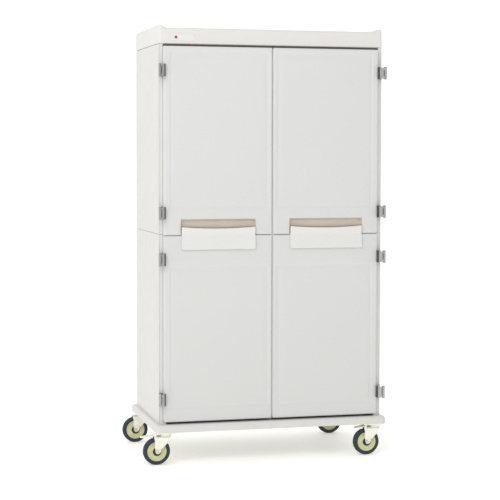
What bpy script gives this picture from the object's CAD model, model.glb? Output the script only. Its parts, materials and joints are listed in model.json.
"""A tall two-door mobile storage cabinet on casters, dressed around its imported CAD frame.

Shapes are written in millimetres, for the cabinet about its own middle and for a caster about its
swivel axis. place() turns them into the frame's metres and mirrors what stands on the left.
"""
import json
import math

import bmesh
import bpy
from mathutils import Matrix, Vector


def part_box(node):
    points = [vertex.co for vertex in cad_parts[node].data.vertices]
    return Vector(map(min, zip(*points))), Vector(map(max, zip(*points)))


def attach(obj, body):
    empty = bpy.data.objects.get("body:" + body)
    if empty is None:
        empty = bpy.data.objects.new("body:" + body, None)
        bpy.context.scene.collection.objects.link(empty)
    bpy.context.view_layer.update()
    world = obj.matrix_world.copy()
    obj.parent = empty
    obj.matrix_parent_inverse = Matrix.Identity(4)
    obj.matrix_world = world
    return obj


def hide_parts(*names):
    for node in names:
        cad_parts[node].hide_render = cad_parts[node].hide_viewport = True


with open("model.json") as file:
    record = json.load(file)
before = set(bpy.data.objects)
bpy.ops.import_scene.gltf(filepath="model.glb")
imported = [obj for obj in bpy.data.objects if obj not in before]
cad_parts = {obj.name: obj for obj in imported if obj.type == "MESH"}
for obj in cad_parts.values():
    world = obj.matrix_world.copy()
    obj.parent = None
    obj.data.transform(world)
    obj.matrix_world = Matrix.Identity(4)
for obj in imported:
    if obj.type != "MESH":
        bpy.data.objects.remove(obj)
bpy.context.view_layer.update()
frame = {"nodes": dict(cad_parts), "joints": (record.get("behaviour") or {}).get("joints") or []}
MM = 0.001
JOINTS = {j["name"]: j for j in frame["joints"]}
SIDES = {"left": -1, "right": 1}
CORNERS = ("front_left", "front_right", "rear_left", "rear_right")


# ---------- places taken from the frame, in millimetres ----------

def span(node, axis):
    """The lowest and highest place of a CAD node along an axis, about the cabinet's middle."""
    low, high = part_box(node)
    middle = CENTRE.x if axis == 0 else 0.0
    return (low[axis] - middle) / MM, (high[axis] - middle) / MM


CENTRE = (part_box("top_cap")[0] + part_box("top_cap")[1]) / 2
CENTRE = Vector((CENTRE.x, CENTRE.y, 0))
DOOR_X = span("right_door_lower_panel", 0)
DOOR_FACE, LINER_Y = span("right_door_lower_panel", 1)
LOWER_Z = span("right_door_lower_panel", 2)
UPPER_Z = span("right_door_upper_panel", 2)
POCKET_X = span("right_handle_pocket", 0)
POCKET_Z = span("right_handle_pocket", 2)
POCKET_Y = span("right_handle_pocket", 1)
GRIP_X = span("right_handle_grip", 0)
GRIP_Z = span("right_handle_grip", 2)
WALL_X = span("right_wall_lower", 0)
WALL_Y = span("right_wall_lower", 1)
BACK_Y = span("back_panel_lower", 1)
WALL_IN = DOOR_X[1] + 2.5
SEAM_Z = (LOWER_Z[1] + UPPER_Z[0]) / 2
DECK_Z, JOINT_Z = span("right_wall_lower", 2)
WALL_TOP = span("right_wall_upper", 2)[1]
CAP_W = 2 * span("top_cap", 0)[1]
CAP_D = 2 * span("top_cap", 1)[1]
CAP_TOP = span("top_cap", 2)[1]
BASE_W = 2 * span("base_bumper", 0)[1]
BASE_D = 2 * span("base_bumper", 1)[1]
BASE_Z = span("base_bumper", 2)
HINGE_H = 58
HINGE_Z = (306, 957, 1172, 1829)
JOINT_GAP = 0.8
WHEEL_R = (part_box("front_left_tread")[1].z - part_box("front_left_tread")[0].z) / 2 / MM
WHEEL_W = (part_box("front_left_tread")[1].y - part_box("front_left_tread")[0].y) / MM


def place(point, side=1, origin=CENTRE):
    """A point in millimetres about origin as one in the frame's metres. Side -1 mirrors it in X."""
    x, y, z = point
    return (origin[0] + side * x * MM, origin[1] + y * MM, origin[2] + z * MM)


# ---------- camera, light and floor ----------

def make_camera():
    """A long lens from the front left at a standing person's chest height."""
    data = bpy.data.cameras.new("camera")
    data.lens = 110.89
    data.sensor_width = 36
    data.shift_x = -0.0034
    data.shift_y = -0.0373
    data.clip_end = 200
    camera = bpy.data.objects.new("camera", data)
    turn = Matrix.Rotation(math.radians(-14.592), 4, "Z")
    tilt = Matrix.Rotation(math.radians(86.997), 4, "X")
    roll = Matrix.Rotation(math.radians(0.119), 4, "Z")
    camera.matrix_world = Matrix.Translation((CENTRE.x - 1.917, -7.278, 1.461)) @ turn @ tilt @ roll
    bpy.context.collection.objects.link(camera)
    bpy.context.scene.camera = camera


def area_light(name, position, target, size, watts):
    """A rectangular lamp at position that faces target."""
    data = bpy.data.lights.new(name, "AREA")
    data.shape = "RECTANGLE"
    data.size, data.size_y = size
    data.energy = watts
    light = bpy.data.objects.new(name, data)
    light.location = position
    light.rotation_euler = (Vector(target) - Vector(position)).to_track_quat("-Z", "Y").to_euler()
    bpy.context.collection.objects.link(light)


def make_light():
    """A soft key from the upper front left and a sky that is brighter behind the cabinet than in front.

    The camera sees an even white backdrop in place of that sky."""
    world = bpy.data.worlds.new("studio")
    world.use_nodes = True
    tree = world.node_tree
    tree.nodes["Background"].inputs["Color"].default_value = (1.0, 1.0, 1.0, 1)
    way = tree.nodes.new("ShaderNodeSeparateXYZ")
    tree.links.new(tree.nodes.new("ShaderNodeTexCoord").outputs["Generated"], way.inputs["Vector"])
    brighter_behind = tree.nodes.new("ShaderNodeMapRange")
    brighter_behind.inputs["From Min"].default_value = -1
    brighter_behind.inputs["To Min"].default_value = 0.55
    brighter_behind.inputs["To Max"].default_value = 1.15
    tree.links.new(way.outputs["Y"], brighter_behind.inputs["Value"])
    backdrop = tree.nodes.new("ShaderNodeMix")
    backdrop.inputs["B"].default_value = 1.1
    tree.links.new(tree.nodes.new("ShaderNodeLightPath").outputs["Is Camera Ray"], backdrop.inputs["Factor"])
    tree.links.new(brighter_behind.outputs["Result"], backdrop.inputs["A"])
    tree.links.new(backdrop.outputs["Result"], tree.nodes["Background"].inputs["Strength"])
    bpy.context.scene.world = world
    area_light("key", (-3.3, -4.6, 4.8), (0, 0, 1.2), (4.0, 3.2), 165)
    bpy.context.scene.view_settings.view_transform = "Standard"


def make_floor():
    """A wide pale floor with a faint glow, so that shadows on it stay light."""
    half = 60
    mesh = bpy.data.meshes.new("floor")
    mesh.from_pydata([(-half, -half, 0), (half, -half, 0), (half, half, 0), (-half, half, 0)], [],
                     [(0, 1, 2, 3)])
    floor = bpy.data.objects.new("floor", mesh)
    bpy.context.collection.objects.link(floor)
    material = bpy.data.materials.new("floor")
    material.use_nodes = True
    shader = material.node_tree.nodes["Principled BSDF"]
    shader.inputs["Base Color"].default_value = (0.93, 0.93, 0.90, 1)
    shader.inputs["Roughness"].default_value = 0.6
    shader.inputs["Specular IOR Level"].default_value = 0.2
    shader.inputs["Emission Color"].default_value = (1, 1, 0.95, 1)
    shader.inputs["Emission Strength"].default_value = 0.28
    floor.data.materials.append(material)


# ---------- materials ----------

def noise(tree, coordinates, scale, detail=2.0, stretch=None):
    """A noise texture's value, drawn out along an axis where stretch says so."""
    node = tree.nodes.new("ShaderNodeTexNoise")
    node.inputs["Scale"].default_value = scale
    node.inputs["Detail"].default_value = detail
    if stretch:
        mapping = tree.nodes.new("ShaderNodeMapping")
        mapping.inputs["Scale"].default_value = stretch
        tree.links.new(coordinates, mapping.inputs["Vector"])
        coordinates = mapping.outputs["Vector"]
    tree.links.new(coordinates, node.inputs["Vector"])
    return node.outputs["Fac"]


def remap(tree, value, low, high):
    """The middle of a noise value's range spread from low to high."""
    node = tree.nodes.new("ShaderNodeMapRange")
    node.inputs["From Min"].default_value = 0.3
    node.inputs["From Max"].default_value = 0.7
    node.inputs["To Min"].default_value = low
    node.inputs["To Max"].default_value = high
    tree.links.new(value, node.inputs["Value"])
    return node.outputs["Result"]


def surface(name, colour, roughness, mottle=0.03, patch=5, grain=700, bump=0.06, depth=0.0003,
            metallic=0.0, stretch=None, specular=0.5, coat=0.0, tint=(1, 1, 1)):
    """A moulded, plated or brushed surface: mottled colour, uneven roughness and a fine grain."""
    material = bpy.data.materials.new(name)
    material.use_nodes = True
    tree = material.node_tree
    shader = tree.nodes["Principled BSDF"]
    shader.inputs["Metallic"].default_value = metallic
    shader.inputs["Specular IOR Level"].default_value = specular
    shader.inputs["Coat Weight"].default_value = coat
    where = tree.nodes.new("ShaderNodeTexCoord").outputs["Object"]
    ramp = tree.nodes.new("ShaderNodeValToRGB")
    ramp.color_ramp.elements[0].position = 0.3
    ramp.color_ramp.elements[1].position = 0.7
    ramp.color_ramp.elements[0].color = (*[c * (1 - mottle) * t for c, t in zip(colour, tint)], 1)
    ramp.color_ramp.elements[1].color = (*[min(1, c * (1 + mottle)) for c in colour], 1)
    tree.links.new(noise(tree, where, patch, 4, stretch), ramp.inputs["Fac"])
    tree.links.new(ramp.outputs["Color"], shader.inputs["Base Color"])
    uneven = noise(tree, where, patch * 9, 3, stretch)
    tree.links.new(remap(tree, uneven, roughness * 0.85, roughness * 1.15), shader.inputs["Roughness"])
    relief = tree.nodes.new("ShaderNodeBump")
    relief.inputs["Strength"].default_value = bump
    relief.inputs["Distance"].default_value = depth
    tree.links.new(noise(tree, where, grain, 2, stretch), relief.inputs["Height"])
    tree.links.new(relief.outputs["Normal"], shader.inputs["Normal"])
    return material


def make_materials():
    """Every finish by its name."""
    return {
        "door_plastic": surface("door_plastic", (0.632, 0.632, 0.628), 0.42, 0.008, 2.5),
        "wall_plastic": surface("wall_plastic", (0.65, 0.643, 0.628), 0.45, 0.008, 2.5),
        "cap_plastic": surface("cap_plastic", (0.69, 0.672, 0.652), 0.42, 0.008, 3),
        "base_plastic": surface("base_plastic", (0.66, 0.65, 0.63), 0.5, 0.015, 6),
        "bumper_plastic": surface("bumper_plastic", (0.66, 0.65, 0.63), 0.5, 0.015, 6),
        "inner_plastic": surface("inner_plastic", (0.74, 0.74, 0.72), 0.5, 0.01, 3),
        "shelf_plastic": surface("shelf_plastic", (0.70, 0.70, 0.68), 0.45, 0.01, 5),
        "catch_plastic": surface("catch_plastic", (0.6, 0.6, 0.6), 0.4, 0.03, 60),
        "grip_plastic": surface("grip_plastic", (0.70, 0.69, 0.675), 0.32, 0.008, 6, bump=0.03),
        "pocket_plastic": surface("pocket_plastic", (0.71, 0.64, 0.56), 0.45, 0.03, 12),
        "plate_plastic": surface("plate_plastic", (0.70, 0.70, 0.685), 0.28, 0.02, 30, bump=0.02),
        "seal_rubber": surface("seal_rubber", (0.085, 0.08, 0.072), 0.6, 0.08, 60),
        "lip_rubber": surface("lip_rubber", (0.26, 0.225, 0.18), 0.6, 0.06, 60),
        "disc_plastic": surface("disc_plastic", (0.42, 0.05, 0.06), 0.35, 0.05, 60, bump=0.02),
        "hub_plastic": surface("hub_plastic", (0.62, 0.63, 0.38), 0.38, 0.08, 25, tint=(1, 0.96, 0.86)),
        "guard_plastic": surface("guard_plastic", (0.02, 0.02, 0.02), 0.5, 0.1, 60),
        "tread_rubber": surface("tread_rubber", (0.028, 0.040, 0.056), 0.6, 0.12, 40, 900, 0.25,
                                specular=0.3),
        "stainless": surface("stainless", (0.42, 0.42, 0.42), 0.3, 0.10, 90, 1400, 0.15, 0.0002, 1.0,
                             (1, 1, 0.08)),
        "dark_steel": surface("dark_steel", (0.075, 0.072, 0.066), 0.4, 0.15, 90, 1400, 0.15, 0.0002, 0.4,
                              (1, 1, 0.08)),
        "pin_steel": surface("pin_steel", (0.62, 0.62, 0.62), 0.28, 0.08, 80, 1500, 0.1, 0.0002, 1.0),
        "zinc": surface("zinc", (0.86, 0.85, 0.78), 0.33, 0.06, 45, 600, 0.12, 0.0003, 0.75,
                        tint=(1, 0.99, 0.95)),
    }


# ---------- mesh building ----------

def skin(loops, closed=False):
    """Faces between loops of equal length, and one over each end unless the row closes on itself."""
    n, rows = len(loops[0]), len(loops)
    vertices = [p for loop in loops for p in loop]
    faces = []
    for i in range(rows if closed else rows - 1):
        for j in range(n):
            k, after = (j + 1) % n, (i + 1) % rows
            faces.append((i * n + j, i * n + k, after * n + k, after * n + j))
    if not closed:
        faces.append(tuple(reversed(range(n))))
        faces.append(tuple((rows - 1) * n + j for j in range(n)))
    return vertices, faces


def joined(*shapes):
    """Several closed shapes as one."""
    vertices, faces = [], []
    for v, f in shapes:
        faces += [tuple(len(vertices) + i for i in face) for face in f]
        vertices += v
    return vertices, faces


def finish_mesh(mesh, crease=35):
    """Turns all faces outwards and shades them smooth up to the crease angle."""
    work = bmesh.new()
    work.from_mesh(mesh)
    bmesh.ops.recalc_face_normals(work, faces=work.faces)
    work.to_mesh(mesh)
    work.free()
    mesh.shade_smooth()
    mesh.set_sharp_from_angle(angle=math.radians(crease))


def raw(name, shape, side=1, origin=CENTRE):
    """A new object from vertices and faces, before its finish."""
    mesh = bpy.data.meshes.new(name)
    mesh.from_pydata([place(p, side, origin) for p in shape[0]], [], shape[1])
    finish_mesh(mesh)
    thing = bpy.data.objects.new(name, mesh)
    bpy.context.collection.objects.link(thing)
    return thing


def carve(thing, tool, how="DIFFERENCE"):
    """Cuts thing with tool, which is used up."""
    step = thing.modifiers.new("cut", "BOOLEAN")
    step.operation, step.object, step.solver = how, tool, "EXACT"
    graph = bpy.context.evaluated_depsgraph_get()
    mesh = bpy.data.meshes.new_from_object(thing.evaluated_get(graph))
    thing.modifiers.clear()
    thing.data = mesh
    finish_mesh(mesh)
    bpy.data.objects.remove(tool)


def soften(thing, width, segments=2, angle=40):
    """Rounds the sharp edges and evens out the shading."""
    if width:
        bevel = thing.modifiers.new("round", "BEVEL")
        bevel.width, bevel.segments = width * MM, segments
        bevel.limit_method, bevel.angle_limit = "ANGLE", math.radians(angle)
        bevel.harden_normals = False
    normals = thing.modifiers.new("normals", "WEIGHTED_NORMAL")
    normals.keep_sharp = True


def dress(thing, body, slot, *nodes, round_by=0.0):
    """Gives a new piece its finish, its body and the CAD nodes that it stands for."""
    soften(thing, round_by)
    thing.data.materials.clear()
    thing.data.materials.append(MATERIALS[slot])
    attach(thing, body)
    if nodes:
        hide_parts(*nodes)


def arc(steps=6):
    """Angles of a quarter turn, in radians."""
    return [math.pi / 2 * k / steps for k in range(steps + 1)]


def corner_ring(x0, x1, y0, y1, r, steps=6):
    """A rounded rectangle in a plane, counter-clockwise from its right-hand side."""
    points = []
    for i, (cx, cy) in enumerate(((x1 - r, y1 - r), (x0 + r, y1 - r), (x0 + r, y0 + r), (x1 - r, y0 + r))):
        points += [(cx + r * math.cos(a + i * math.pi / 2), cy + r * math.sin(a + i * math.pi / 2))
                   for a in arc(steps)]
    return points


def upright(ring, y):
    """A ring drawn in X and Z, standing at depth y."""
    return [(a, y, b) for a, b in ring]


def lathe(profile, centre, axis="Y", turns=64):
    """A closed profile of (radius, place along the axis), turned about a Y or Z axis through centre."""
    cx, cy, cz = centre
    loops = []
    for k in range(turns):
        c, s = math.cos(2 * math.pi * k / turns), math.sin(2 * math.pi * k / turns)
        if axis == "Y":
            loops.append([(cx + r * c, cy + t, cz + r * s) for r, t in profile])
        else:
            loops.append([(cx + r * c, cy + r * s, cz + t) for r, t in profile])
    return skin(loops, closed=True)


def slab(outline, low, high, axis="Y"):
    """An outline in X and Z pushed along Y, or one in X and Y pushed along Z."""
    if axis == "Y":
        return skin([[(a, t, b) for a, b in outline] for t in (low, high)])
    return skin([[(a, b, t) for a, b in outline] for t in (low, high)])


def rectangle(x, z):
    """The outline of a rectangle, counter-clockwise from its lower left corner."""
    return [(x[0], z[0]), (x[1], z[0]), (x[1], z[1]), (x[0], z[1])]


# ---------- doors ----------

CHANNEL_DEPTH = 2.4
CHANNEL = ((0, 0), (0.06, 0.1), (0.14, 0.4), (0.24, 0.78), (0.34, 0.97), (0.42, 1),
           (0.52, 0.97), (0.66, 0.82), (0.8, 0.62), (0.92, 0.46), (1, 0.4))
PANEL_EDGE = 8
POCKET_LIFT = 3


def moulded_panel(x, z, back, face, edge, outer, inner, depth=CHANNEL_DEPTH, out=-1):
    """A panel facing -Y (out -1) or +Y, with rounded edges and a channel round its slightly sunk field.

    outer and inner are the channel's distances from the left, right, bottom and top edges.
    CHANNEL holds how far across the channel a line lies, and how much of its depth is reached there."""
    def ring(left, right, bottom, top, r):
        return corner_ring(x[0] + left, x[1] - right, z[0] + bottom, z[1] - top, r)
    loops = [upright(ring(0, 0, 0, 0, 2), back)]
    for a in arc():
        g = edge * (1 - math.cos(a))
        loops.append(upright(ring(g, g, g, g, 2), face - out * edge * (1 - math.sin(a))))
    for t, sunk in CHANNEL:
        gaps = [o + (i - o) * t for o, i in zip(outer, inner)]
        loops.append(upright(ring(*gaps, 6 + 6 * t), face - out * depth * sunk))
    return skin(loops)


def make_door(side_name, side):
    """A door: its two moulded panels, the upper one notched for the pocket, and what is fixed to them."""
    body = f"{side_name}_door"
    past = 5
    shape = moulded_panel(DOOR_X, UPPER_Z, LINER_Y, DOOR_FACE, PANEL_EDGE,
                          (9, 26, 122, 14), (43, 45, 148, 56))
    upper = raw(f"{side_name}_door_upper_skin", shape, side)
    notch = raw("notch", slab(rectangle(POCKET_X, (UPPER_Z[0] - past, POCKET_Z[1] + POCKET_LIFT)),
                              DOOR_FACE - past, LINER_Y + past), side)
    carve(upper, notch)
    dress(upper, body, "door_plastic", f"{side_name}_door_upper_panel", round_by=0.8)
    shape = moulded_panel(DOOR_X, LOWER_Z, LINER_Y, DOOR_FACE, PANEL_EDGE,
                          (9, 26, 54, 136), (43, 45, 90, 168))
    lower = raw(f"{side_name}_door_lower_skin", shape, side)
    dress(lower, body, "door_plastic", f"{side_name}_door_lower_panel")
    make_seals(side_name, side, body)
    make_pocket(side_name, side, body)
    make_hinge_covers(side_name, side, body)
    make_grip(side_name, side, body)


def make_seals(side_name, side, body):
    """Pale strips along both upright edges of a door, which close most of its gaps."""
    margin, depth = 6, 8
    z = (LOWER_Z[0] + margin, UPPER_Z[1] - margin)
    strips = []
    for edge, out, y in ((DOOR_X[0], -2.5, DOOR_FACE + 8), (DOOR_X[1], 1.5, DOOR_FACE + 12)):
        strips.append(slab(rectangle((edge - out, edge + out), z), y, y + depth))
    seals = raw(f"{side_name}_door_edge_seals", joined(*strips), side)
    dress(seals, body, "inner_plastic", round_by=1.0)


def make_pocket(side_name, side, body):
    """The taupe finger pocket: a thin rim set back in the notch and a rounded hollow behind it."""
    rim, bend, edge = 2.5, 7, 0.8
    x, z = POCKET_X, POCKET_Z
    front, front_top = POCKET_Y[0] + 3, z[1] + POCKET_LIFT
    mouth = corner_ring(x[0] + edge, x[1] - edge, z[0] + rim, front_top - edge, bend)
    loops = [upright(corner_ring(x[0], x[1], z[0], z[1], 0.5), POCKET_Y[1]),
             upright(corner_ring(x[0], x[1], z[0], front_top, 0.5), front), upright(mouth, front)]
    floor_y = POCKET_Y[1] - rim
    for a in arc():
        g = rim + bend * (1 - math.cos(a))
        y = floor_y - bend * (1 - math.sin(a))
        hollow = corner_ring(x[0] + g, x[1] - g, z[0] + g, z[1] - g, bend + 1 - g + rim)
        loops.append(upright(hollow, y))
    pocket = raw(f"{side_name}_finger_pocket", skin(loops), side)
    dress(pocket, body, "pocket_plastic", f"{side_name}_handle_pocket")


def make_hinge_covers(side_name, side, body):
    """The dark flanges on the doors' side of the hinge leaves, one at each hinge."""
    half = HINGE_H / 2 - 0.4
    plan = [(DOOR_X[1] + across, DOOR_FACE + along)
            for across, along in ((-5, 1), (-5, -14), (-2, -17.5), (1, -19.5), (1, 1))]
    covers = [slab(plan, z - half, z + half, "Z") for z in HINGE_Z]
    flanges = raw(f"{side_name}_hinge_flanges", joined(*covers), side)
    dress(flanges, body, "stainless", round_by=1.2)
    flanges.data.materials[0] = MATERIALS["dark_steel"]


def make_grip(side_name, side, body):
    """The white pull across the seam, whose lip bows out and dips towards its middle."""
    middle, half = (GRIP_X[0] + GRIP_X[1]) / 2, (GRIP_X[1] - GRIP_X[0]) / 2
    foot, height = GRIP_Z[0], 114
    most_bow, most_dip = 4.5, 7.5
    stations = 28
    loops, gasket = [], []
    for k in range(stations + 1):
        t = 2 * k / stations - 1
        bow = 1 - t * t
        lip = most_bow * bow
        top = height - most_dip * bow
        section = [(0, 8), (8.5, 8), (10.2, 8.6), (11, 10), (11, 13), (8.8, 40), (7.2, 64), (5.6, 76),
                   (5.9 + lip * 0.3, 83), (8.6 + lip, top - 10), (9.3 + lip, top - 4), (8.6 + lip, top - 1),
                   (7.0 + lip, top), (5.2 + lip, top - 1.2), (4.4 + lip, top - 4), (3.2 + lip * 0.5, 90),
                   (2.0, 80), (0, 74.5)]
        x = middle + half * t
        loops.append([(x, DOOR_FACE - out, foot + up) for out, up in section])
        gasket.append([(x, DOOR_FACE - out, foot + top + up)
                       for out, up in ((1.2, -6), (4.0, -6), (4.0, 2.8), (1.2, 2.8))])
    grip = raw(f"{side_name}_pull_grip", skin(loops), side)
    dress(grip, body, "grip_plastic", f"{side_name}_handle_grip", round_by=1.2)
    strip = raw(f"{side_name}_lip_gasket", skin(gasket), side)
    dress(strip, body, "pocket_plastic", round_by=0.4)
    strip.data.materials[0] = MATERIALS["lip_rubber"]


# ---------- walls, cap and base ----------

MODULES = {"lower": (DECK_Z, JOINT_Z - JOINT_GAP), "upper": (JOINT_Z + JOINT_GAP, WALL_TOP)}


def make_walls():
    """Side walls in two modules, each with a bead beside the door and a fine groove at its front corner."""
    bend = 4
    edge, groove, width = 0.8, 2.6, 2.4
    bead = 0.3
    for side_name, side in SIDES.items():
        for level, (z0, z1) in MODULES.items():
            x0, x1 = WALL_IN, WALL_X[1]
            front, back = WALL_Y
            outline = [(x0, front - bead), (x0 + bend, front), (x1 - edge - width, front),
                       (x1 - edge - width + 0.3, front + groove), (x1 - edge - 0.3, front + groove),
                       (x1 - edge, front + 0.6), (x1, front + 1.4)]
            outline += [(x1 - bend + bend * math.cos(a), back - bend + bend * math.sin(a)) for a in arc()]
            outline.append((x0, back))
            wall = raw(f"{side_name}_wall_{level}_skin", slab(outline, z0, z1, "Z"), side)
            dress(wall, "cabinet", "wall_plastic", round_by=0.4)
            base = z0 if level == "lower" else SEAM_Z
            ledges = make_ledges(f"{side_name}_wall_{level}_ledges", base, side)
            dress(ledges, "cabinet", "wall_plastic", f"{side_name}_wall_{level}", round_by=1.0)


def make_header():
    """The dark strip over the doors, under the cap, and a pale block in each lower corner of the front."""
    clear = 1.5
    shape = slab(rectangle((-WALL_IN, WALL_IN), (UPPER_Z[1] + clear, WALL_TOP)), WALL_Y[0] + 1, LINER_Y - 1)
    header = raw("door_header_strip", shape)
    dress(header, "cabinet", "guard_plastic", round_by=0.6)
    header.data.materials[0] = MATERIALS["seal_rubber"]
    for side_name, side in SIDES.items():
        outline = rectangle((DOOR_X[1] - 12, WALL_IN), (DECK_Z, LOWER_Z[0] - clear))
        shape = slab(outline, WALL_Y[0] - 6, LINER_Y)
        block = raw(f"{side_name}_sill_block", shape, side)
        dress(block, "cabinet", "wall_plastic", round_by=0.8)


def make_ledges(name, z0, side):
    """The rows of moulded shelf ledges inside a wall module."""
    count, pitch, height, out, length = 8, 100, 6, 8, 505
    x0 = WALL_X[0] - 0.2
    y0 = WALL_Y[0] + 45
    rows = []
    for k in range(1, count + 1):
        z = z0 + k * pitch
        section = [(x0 + out + 1, z), (x0 + 1.5, z), (x0, z - 1.5), (x0, z - height + 3),
                   (x0 + 3, z - height), (x0 + out + 1, z - height)]
        rows.append(slab(section, y0, y0 + length))
    return raw(name, joined(*rows), side)


def make_back():
    """The back, a left and a right moulded panel in each module, with a fine gap at the middle."""
    half_gap, edge, depth = 0.6, 2.5, 2.0
    for level, z in MODULES.items():
        for side_name, side in SIDES.items():
            shape = moulded_panel((half_gap, WALL_IN), z, *BACK_Y, edge,
                                  (34, 30, 40, 40), (58, 54, 64, 64), depth, 1)
            panel = raw(f"{side_name}_back_{level}_skin", shape, side)
            nodes = [f"back_panel_{level}"] if side > 0 else []
            dress(panel, "cabinet", "wall_plastic", *nodes)


def plan_ring(w, d, r, height):
    """Points round a rounded rectangle in plan, close together near its corners.

    height is one number, or a function that gives it for a place in X."""
    steps = [3 * k for k in range(1, 12)]
    points = []
    ways = ((-1, 0), (0, -1), (1, 0), (0, 1))
    for i, (sx, sy) in enumerate(((1, 1), (-1, 1), (-1, -1), (1, -1))):
        for a in arc():
            turn = a + i * math.pi / 2
            points.append((sx * (w / 2 - r) + r * math.cos(turn), sy * (d / 2 - r) + r * math.sin(turn)))
        start = points[-1]
        length = (w if i % 2 == 0 else d) - 2 * r
        for s in steps + [length / 2] + [length - s for s in reversed(steps)]:
            points.append((start[0] + ways[i][0] * s, start[1] + ways[i][1] * s))
    return [(x, y, height(x) if callable(height) else height) for x, y in points]


def make_cap():
    """The top cap: rounded outer edge, left and right rims that stand higher, and a recessed tray."""
    corner, rise, rim, bend = 13, 14, 24, 11
    low_top = CAP_TOP - rise
    tray = low_top - 12

    def top(drop):
        def height(x):
            t = min(1.0, max(0.0, (CAP_W / 2 - abs(x) - 8) / 24))
            return low_top - drop + rise * (1 + math.cos(math.pi * t)) / 2
        return height

    def ring(inset, radius, height):
        return plan_ring(CAP_W - 2 * inset, CAP_D - 2 * inset, radius, height)
    groove, joint = 7, 2.2
    loops = [ring(22, 4, WALL_TOP + 6), ring(22, 4, WALL_TOP), ring(groove, corner - groove, WALL_TOP),
             ring(groove, corner - groove, WALL_TOP + joint), ring(0.8, corner - 0.8, WALL_TOP + joint),
             ring(0, corner, WALL_TOP + joint + 0.8), ring(0.4, corner, WALL_TOP + 40)]
    for a in arc(8):
        inward = bend * (1 - math.cos(a))
        loops.append(ring(0.8 + inward, corner - inward, top(bend * (1 - math.sin(a)))))
    inner = 5
    for a in arc():
        loops.append(ring(rim - inner + inner * math.sin(a), 12, top(inner * (1 - math.cos(a)))))
    foot = 4
    for a in arc():
        loops.append(ring(rim + foot * (1 - math.cos(a)), 12, tray + foot * (1 - math.sin(a))))
    cap = raw("cap_shell", skin(loops))
    dress(cap, "cabinet", "cap_plastic", "top_cap")


def make_plate():
    """The small plate on the cap's front: a blank pillowed tablet with a plain disc at one end."""
    x, y, z = [span("name_plate", axis) for axis in range(3)]
    corner = 4
    loops = [upright(corner_ring(*x, *z, corner), y[1] + 0.2)]
    for a in arc(4):
        g = 1 - math.cos(a)
        ring = corner_ring(x[0] + g, x[1] - g, z[0] + g, z[1] - g, corner - g)
        loops.append(upright(ring, y[0] + 0.4 + 0.7 * (1 - math.sin(a))))
    plate = raw("front_plate", skin(loops))
    dress(plate, "cabinet", "plate_plastic", "name_plate")
    disc = raw("front_plate_disc", lathe([(0.01, 0.8), (7, 0.8), (7, 0.15), (6.6, 0), (0.01, 0)],
                                         (x[0] + 20, y[0], (z[0] + z[1]) / 2), turns=40))
    dress(disc, "cabinet", "plate_plastic")
    disc.data.materials[0] = MATERIALS["disc_plastic"]


def make_bumper():
    """The bumper: a full round shoulder outside, a small one below."""
    corner = 26
    shoulder = (12, 16)
    inner = 20
    low, high = BASE_Z
    section = [(inner, low + 20), (inner, high + 0.25)]
    section += [(shoulder[0] * (1 - math.sin(a)), high + 0.25 - shoulder[1] * (1 - math.cos(a)))
                for a in arc()]
    section += [(4 * (1 - math.cos(a)), low + 4 * (1 - math.sin(a))) for a in arc(4)]
    section += [(13, low), (13, low + 20)]
    loops = [plan_ring(BASE_W - 2 * g, BASE_D - 2 * g, corner - g, z) for g, z in section]
    bumper = raw("bumper_shell", skin(loops, closed=True))
    dress(bumper, "cabinet", "bumper_plastic", "base_bumper")


# ---------- casters ----------

def turned_back(profile):
    """A lathe profile seen in a mirror, on the other face of the wheel."""
    return [(r, -t) for r, t in profile]


def make_wheel(corner, axle):
    """A wheel: its tyre with rounded shoulders, the dished hub and a thread guard on each face."""
    tread_depth = 18
    r, half = WHEEL_R, WHEEL_W / 2
    hub_r = r - tread_depth
    body = f"{corner}_wheel"
    tread = [(hub_r - 0.3, -half + 1.5), (hub_r + 1.5, -half + 0.4)]
    tread += [(r - 9 + 9 * math.sin(a) * 0.98, -half + 9 - 9 * math.cos(a)) for a in arc(8)]
    tread += [(r - 0.05, -half + 12), (r, 0), (r - 0.05, half - 12)]
    tread += [(r - 9 + 9 * math.cos(a) * 0.98, half - 9 + 9 * math.sin(a)) for a in arc(8)]
    tread += [(hub_r + 1.5, half - 0.4), (hub_r - 0.3, half - 1.5)]
    tyre = raw(f"{corner}_tyre", lathe(tread, (0, 0, 0), turns=96), 1, axle)
    dress(tyre, body, "tread_rubber", f"{corner}_tread")
    face = [(6.1, half - 0.2), (21, half - 0.2), (22.5, half - 1), (23.5, half - 5), (25, half - 6.5),
            (37.5, half - 6.5), (39, half - 5.5), (41, half - 1.6), (42.5, half - 0.9), (44.5, half - 1.0),
            (hub_r, half - 2)]
    both = face + turned_back(reversed(face))
    hub = raw(f"{corner}_wheel_hub", lathe(both, (0, 0, 0), turns=96), 1, axle)
    dress(hub, body, "hub_plastic", f"{corner}_hub")
    ring = [(6.1, half), (19, half), (20, half + 0.8), (20, half + 2.6), (19.2, half + 3.4),
            (17.5, half + 3.5), (16.5, half + 2.7), (12, half + 2.5), (11, half + 3.4), (6.1, half + 3.4)]
    pair = [lathe(profile, (0, 0, 0)) for profile in (ring, turned_back(ring))]
    guards = raw(f"{corner}_thread_guards", joined(*pair), 1, axle)
    dress(guards, body, "guard_plastic", f"{corner}_guard")


PEDAL_PIVOT = (-50, 139.5)


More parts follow.
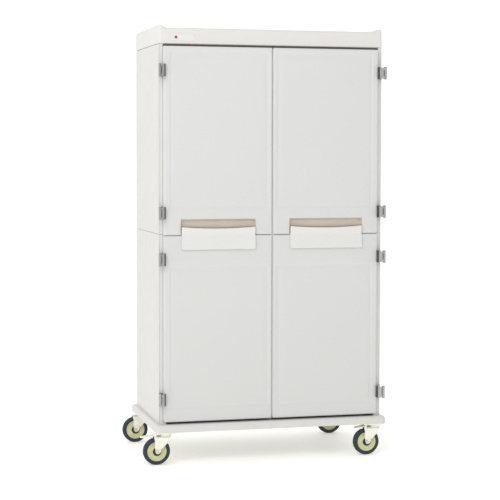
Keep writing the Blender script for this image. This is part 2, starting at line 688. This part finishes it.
def make_fork(corner, swivel, trail, ears):
    """A pressed steel fork: a channel with bent shoulders, cut to the legs' outline, and its ball race.

    With ears, a pair of lugs stands on it to hold the pedal."""
    body = f"{corner}_swivel"
    top, crown, inside, outside = 136, 5, WHEEL_W / 2 + 4, WHEEL_W / 2 + 8
    bend_out, bend_in = 9, 4.5
    foot = 40
    channel = [(-outside, foot)]
    channel += [(-outside + bend_out * (1 - math.cos(a)), top - bend_out * (1 - math.sin(a))) for a in arc()]
    channel += [(outside - bend_out * (1 - math.sin(a)), top - bend_out * (1 - math.cos(a))) for a in arc()]
    channel += [(outside, foot), (inside, foot)]
    roof = top - crown
    channel += [(inside - bend_in * (1 - math.cos(a)), roof - bend_in * (1 - math.sin(a))) for a in arc()]
    channel += [(-inside + bend_in * (1 - math.sin(a)), roof - bend_in * (1 - math.cos(a))) for a in arc()]
    channel.append((-inside, foot))
    pressing = skin([[(x, y, z) for y, z in channel] for x in (-62, 30)])
    fork = raw(f"{corner}_fork_pressing", pressing, 1, swivel)
    end = 14
    outline = [(22, top + 1), (22, top - 6), (17, top - 16), (6, top - 34), (-12, top - 54)]
    centre = (-trail + 4, WHEEL_R + 5)
    outline += [(centre[0] + end * math.cos(t), centre[1] + end * math.sin(t))
                for t in [math.radians(d) for d in range(25, -210, -15)]]
    outline += [(-54, top - 44), (-52, top - 22), (-55, top - 9), (-55, top + 1)]
    cutter = raw("legs", slab(outline, -40, 40), 1, swivel)
    carve(fork, cutter, "INTERSECT")
    dress(fork, body, "zinc", f"{corner}_fork", round_by=0.8)
    race = [(8.1, top - 0.5), (30, top - 0.5), (30.0, top + 2.0), (29.3, top + 2.6), (30, top + 3.2),
            (30, top + 4.4), (29.4, top + 5), (8.1, top + 5)]
    cup = raw(f"{corner}_ball_race", lathe(race, (0, 0, 0), "Z", 64), 1, swivel)
    dress(cup, body, "zinc")
    if ears:
        x, z = PEDAL_PIVOT
        round_r, root = 5, 128
        ring = [(x + round_r * math.cos(t), z + round_r * math.sin(t))
                for t in [math.radians(d) for d in range(0, 181, 15)]]
        shape = ring + [(x - round_r, root), (x + round_r, root)]
        pair = [slab(shape, s * inside, s * outside) for s in (-1, 1)]
        lugs = raw(f"{corner}_fork_lugs", joined(*pair), 1, swivel)
        dress(lugs, body, "zinc", round_by=0.8)


def make_pedal(corner, swivel, tip):
    """The brake pedal: a curved tread plate on a barrel, ribbed at its tip, with a shoe over the wheel."""
    pivot_x, pivot_z = PEDAL_PIVOT
    stations, chamfer = 18, (0.8, 0.6)
    loops = []
    for k in range(stations + 1):
        t = k / stations
        x = pivot_x - (tip + pivot_x) * t
        round_off = max(0.0, (t - 0.86) / 0.14)
        half = 16 + 3 * math.sin(math.pi * min(1, t * 1.3))
        half -= 7 * (1 - math.sqrt(max(0.0, 1 - round_off ** 2)))
        middle = pivot_z + 2.2 - 10.5 * t ** 0.6
        thick = 2.0 - 0.5 * round_off
        low, high = middle - thick, middle + thick
        loops.append([(x, -half, low), (x, -half, high - chamfer[1]), (x, -half + chamfer[0], high),
                      (x, half - chamfer[0], high), (x, half, high - chamfer[1]), (x, half, low)])
    plate = skin(loops)
    barrel = lathe([(0.01, -19.7), (4.3, -19.7), (4.6, -19.2), (4.6, 19.2), (4.3, 19.7), (0.01, 19.7)],
                   (pivot_x, 0, pivot_z), turns=32)
    pin = lathe([(0.01, -25), (2.9, -25), (3.4, -24.6), (3.4, -24.05), (2.45, -24), (2.45, 24), (3.4, 24.05),
                 (3.4, 24.6), (2.9, 25), (0.01, 25)], (pivot_x, 0, pivot_z), turns=24)
    shoe_outline = [(-58, 0), (-60, -12), (-66, -13.2), (-72, -14.2), (-76, -4)]
    shoe = slab([(x, pivot_z + drop) for x, drop in shoe_outline], -12, 12)
    rib_outline = [(-1.2, -1.5), (-0.8, 1.2), (0.8, 1.2), (1.2, -1.5)]
    ribs = []
    for k in range(3):
        x = -tip + 7 + 5 * k
        z = pivot_z - 5.9 + 0.45 * k
        ribs.append(slab([(x + across, z + up) for across, up in rib_outline], -13, 13))
    pedal = raw(f"{corner}_brake_plate", joined(plate, barrel, pin, shoe, *ribs), 1, swivel)
    dress(pedal, f"{corner}_brake", "zinc", f"{corner}_pedal", round_by=0.5)


def make_casters():
    """The four casters, about the swivel and axle places of the frame's joints."""
    for corner in CORNERS:
        at = JOINTS[f"{corner}_swivel_turn"]["pos_m"]
        hub = JOINTS[f"{corner}_wheel_spin"]["pos_m"]
        swivel = Vector((at[0], at[1], 0))
        axle = Vector(hub)
        make_wheel(corner, axle)
        front = corner.startswith("front")
        make_fork(corner, swivel, (at[0] - hub[0]) / MM, front)
        if front:
            make_pedal(corner, swivel, (at[0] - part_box(f"{corner}_pedal")[0].x) / MM)


# ---------- CAD nodes that keep their own shape ----------

KEPT = {
    "base_deck": ("base_plastic", 1.0),
    "ceiling_panel": ("inner_plastic", 0.8),
    "center_divider": ("inner_plastic", 1.0),
    "hinge_brackets": ("stainless", 0.5),
    "hinge_pins": ("pin_steel", 0.4),
    "hinge_screws": ("pin_steel", 0.3),
    "door_catches": ("catch_plastic", 1.0),
    "caster_plates": ("zinc", 0.5),
    "caster_bolts": ("pin_steel", 0.4),
}


def dress_kept():
    """Gives the CAD nodes that stay their finish and soft edges. Each row is a material and a rounding."""
    kept = dict(KEPT)
    for side_name in SIDES:
        kept[f"{side_name}_door_liner"] = ("inner_plastic", 0.6)
        kept[f"{side_name}_hinge_leaves"] = ("stainless", 0.6)
        kept[f"{side_name}_strike_plates"] = ("pin_steel", 0.3)
        for level in (1, 2, 3):
            kept[f"{side_name}_shelf_{level}"] = ("shelf_plastic", 1.2)
    for corner in CORNERS:
        kept[f"{corner}_axle"] = ("pin_steel", 0.6)
    for name, (slot, width) in kept.items():
        node = frame["nodes"][name]
        if node.material_slots:
            for held in node.material_slots:
                held.material = MATERIALS[slot]
        soften(node, width)


make_camera()
make_light()
make_floor()
MATERIALS = make_materials()
for side_name, side in SIDES.items():
    make_door(side_name, side)
make_walls()
make_header()
make_back()
make_cap()
make_plate()
make_bumper()
make_casters()
dress_kept()
